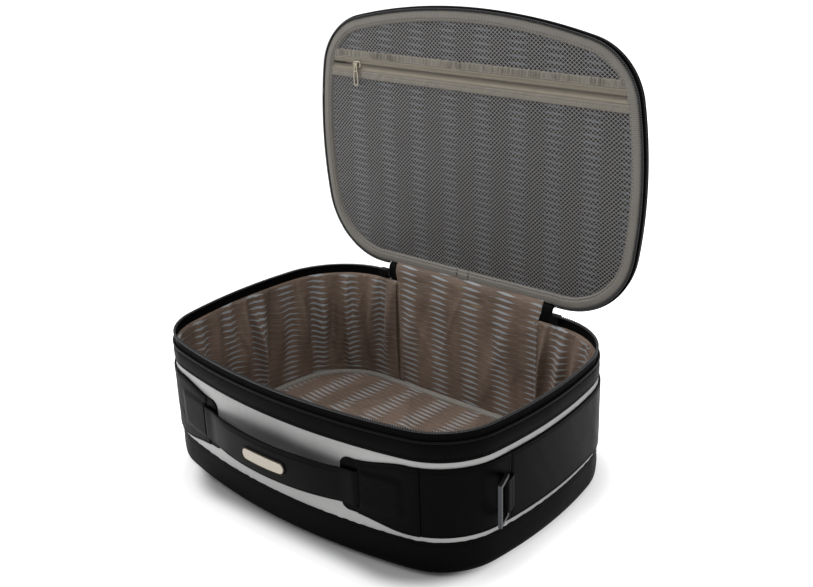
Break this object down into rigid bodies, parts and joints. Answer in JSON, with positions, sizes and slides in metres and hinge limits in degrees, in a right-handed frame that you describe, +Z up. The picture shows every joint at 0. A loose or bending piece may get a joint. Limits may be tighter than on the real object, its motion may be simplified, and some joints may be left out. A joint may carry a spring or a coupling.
{
  "type": "makeup train case",
  "caption": "Soft-sided makeup train case with bowed walls, zip-round lid standing open, mesh lid pocket, padded strap handle and side strap rings.",
  "frame": {"origin": "middle of the flat underside, on the floor", "axes": "+X along the hinge to the right when looking at the handle, -Y is the handle side, +Z up"},
  "size_m": [0.3696, 0.2822, 0.3806],
  "materials": {
    "leather_black": "soft matt black leatherette, fine grain",
    "belt_leather": "smooth padded black leatherette, low sheen",
    "satin_silver": "woven satin in silver grey, soft sheen",
    "board": "fibreboard stiffener, hidden",
    "foam": "soft foam padding, hidden",
    "piping_black": "rolled black piping",
    "lining_fabric": "taupe brown lining woven with small wavy silver dashes",
    "binding_taupe": "taupe grey ribbed binding tape",
    "zip_black": "black woven zip tape",
    "metal_black": "gunmetal black",
    "pocket_mesh": "open diamond mesh in grey",
    "coil_taupe": "taupe nylon zip coil",
    "metal_champagne": "pale champagne plating",
    "plate_edge": "dark bronze edge"
  },
  "bodies": {
    "case": {"base_panel": "leather_black", "base_board": "board", "lower_band": "leather_black", "silver_band": "satin_silver", "upper_band": "leather_black", "wall_board": "board", "rim_piping": "piping_black", "belt_tongue_left": "belt_leather", "belt_tongue_right": "belt_leather", "belt_corner_left": "belt_leather", "belt_corner_right": "belt_leather", "belt_side_left": "belt_leather", "belt_side_right": "belt_leather", "belt_back": "belt_leather", "ring_tab_left": "belt_leather", "ring_tab_right": "belt_leather", "strap_anchor_left": "belt_leather", "strap_anchor_right": "belt_leather", "lining_walls": "lining_fabric", "lining_back": "lining_fabric", "lining_floor": "lining_fabric", "floor_binding": "binding_taupe", "rim_tape": "zip_black", "rim_teeth": "zip_black", "hinge_rim": "zip_black", "hinge_strip": "zip_black", "hinge_fold": "zip_black", "slider_left": "metal_black", "slider_right": "metal_black"},
    "lid": {"lid_skin": "leather_black", "lid_pad": "foam", "lid_board": "board", "lid_wall": "leather_black", "lid_piping": "piping_black", "lid_tape": "zip_black", "lid_teeth": "zip_black", "lid_hinge_strip": "zip_black", "lid_lining": "lining_fabric", "lid_binding": "binding_taupe", "mesh_upper": "pocket_mesh", "mesh_lower": "pocket_mesh", "trim_upper": "binding_taupe", "trim_lower": "binding_taupe", "pocket_tape_upper": "binding_taupe", "pocket_tape_lower": "binding_taupe", "pocket_coil": "coil_taupe"},
    "handle": {"grip": "belt_leather", "strap_end_left": "belt_leather", "strap_end_right": "belt_leather", "nameplate_rim": "plate_edge", "nameplate": "metal_champagne"},
    "strap_ring_left": {"strap_ring_left": "metal_black"},
    "strap_ring_right": {"strap_ring_right": "metal_black"},
    "zip_pull_left": {"pull_left": "metal_black"},
    "zip_pull_right": {"pull_right": "metal_black"},
    "pocket_slider": {"pocket_slider": "metal_champagne"},
    "pocket_pull": {"pocket_pull": "metal_champagne"}
  },
  "joints": [
    {"name": "lid_hinge", "type": "hinge", "parent": "case", "child": "lid", "pos_m": [0, 0.1282, 0.1256], "axis": [-1, 0, 0], "range_deg": [-90, 60]},
    {"name": "handle_pull", "type": "slide", "parent": "case", "child": "handle", "axis": [0, -1, 0], "range_m": [0, 0.012]},
    {"name": "ring_left_swing", "type": "hinge", "parent": "case", "child": "strap_ring_left", "pos_m": [-0.17778, -0.058, 0.06075], "axis": [0, 0, -1], "range_deg": [-25, 125]},
    {"name": "ring_right_swing", "type": "hinge", "parent": "case", "child": "strap_ring_right", "pos_m": [0.17778, -0.058, 0.06075], "axis": [0, 0, 1], "range_deg": [-25, 125]},
    {"name": "zip_pull_left_swing", "type": "hinge", "parent": "case", "child": "zip_pull_left", "pos_m": [-0.10045, 0.1282, 0.1168], "axis": [1, 0, 0], "range_deg": [0, 60]},
    {"name": "zip_pull_right_swing", "type": "hinge", "parent": "case", "child": "zip_pull_right", "pos_m": [0.10045, 0.1282, 0.1168], "axis": [1, 0, 0], "range_deg": [0, 60]},
    {"name": "pocket_slide", "type": "slide", "parent": "lid", "child": "pocket_slider", "axis": [1, 0, 0], "range_m": [-0.022, 0.278]},
    {"name": "pocket_pull_swing", "type": "hinge", "parent": "pocket_slider", "child": "pocket_pull", "pos_m": [-0.128, 0.12615, 0.3208], "axis": [-1, 0, 0], "range_deg": [0, 165]}
  ]
}
